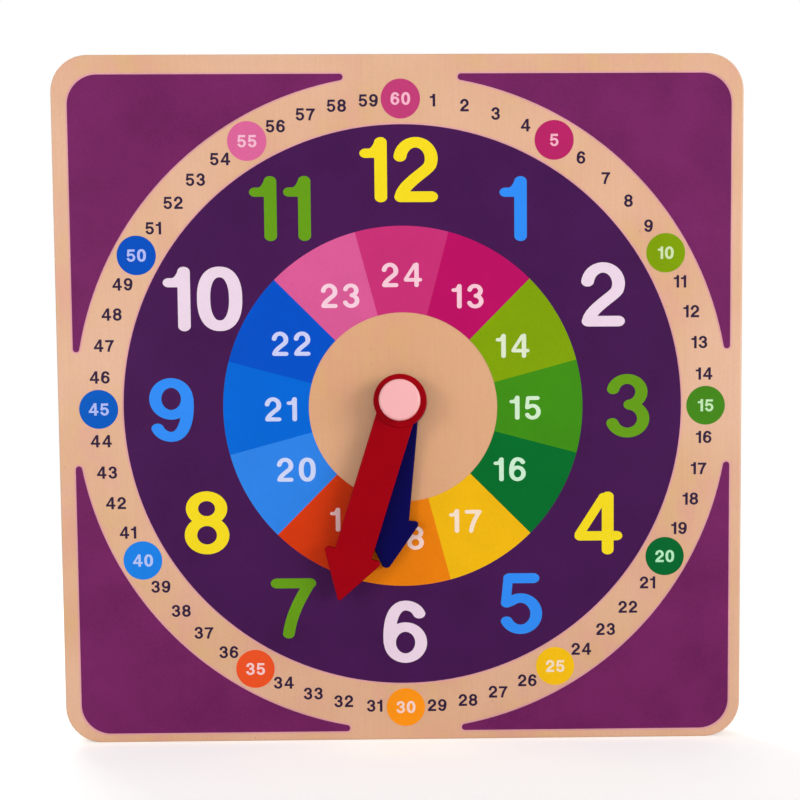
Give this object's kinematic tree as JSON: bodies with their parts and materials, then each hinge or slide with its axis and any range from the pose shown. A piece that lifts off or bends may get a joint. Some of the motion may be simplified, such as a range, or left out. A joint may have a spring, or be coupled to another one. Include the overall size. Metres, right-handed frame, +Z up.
{
  "type": "geared teaching clock",
  "caption": "Square wooden teaching clock with a printed dial and two coloured arrow hands that a gear train hidden in the back of the board turns together.",
  "frame": {"origin": "on the axis of the hands, in the plane of the board's back", "axes": "+Z up to the 12, +X to the right as the dial is read, +Y out of the back; the dial faces -Y"},
  "size_m": [0.3, 0.028, 0.3],
  "materials": {
    "birch_plywood": "sanded plywood, clear matt varnish over a printed dial",
    "red_abs": "moulded, glossy",
    "blue_abs": "moulded, glossy",
    "pink_abs": "moulded, satin to glossy",
    "clear_sheet": "clear polycarbonate sheet, cut edges",
    "natural_acetal": "moulded, matt",
    "white_nylon": "moulded or stamped, matt",
    "brass": "turned",
    "zinc_plated_steel": "bright zinc plate",
    "spring_steel": "hardened, dull",
    "black_felt": "pressed wool felt"
  },
  "bodies": {
    "board": {"dial_board": "birch_plywood", "centre_bush": "brass", "gear_cover": "clear_sheet", "cover_screws": "zinc_plated_steel", "idler_stud": "zinc_plated_steel", "idler_washer": "white_nylon", "friction_spring": "spring_steel", "front_washer": "black_felt"},
    "minute": {"minute_arbor": "brass", "minute_pinion": "natural_acetal", "pinion_washer": "white_nylon", "hand_spacer": "white_nylon", "minute_hand": "red_abs", "hand_nut": "brass", "centre_cap": "pink_abs"},
    "idler": {"idler_gear": "natural_acetal"},
    "hour": {"hour_wheel": "natural_acetal", "hour_washer": "white_nylon"},
    "hour_hand": {"hour_hand": "blue_abs", "hour_hand_bush": "white_nylon"}
  },
  "joints": [
    {"name": "minute_turn", "type": "hinge", "parent": "board", "child": "minute", "pos_m": [0, 0, 0], "axis": [0, 1, 0], "continuous": true},
    {"name": "idler_turn", "type": "hinge", "parent": "board", "child": "idler", "pos_m": [0, 0, 0.03], "axis": [0, 1, 0], "continuous": true},
    {"name": "hour_turn", "type": "hinge", "parent": "board", "child": "hour", "pos_m": [0, 0, 0], "axis": [0, 1, 0], "continuous": true},
    {"name": "hour_hand_slip", "type": "hinge", "parent": "hour", "child": "hour_hand", "pos_m": [0, 0, 0], "axis": [0, 1, 0], "continuous": true}
  ],
  "couplings": [
    {"joint": "idler_turn", "follows": "minute_turn", "ratio": -0.33333},
    {"joint": "hour_turn", "follows": "minute_turn", "ratio": 0.083333}
  ]
}
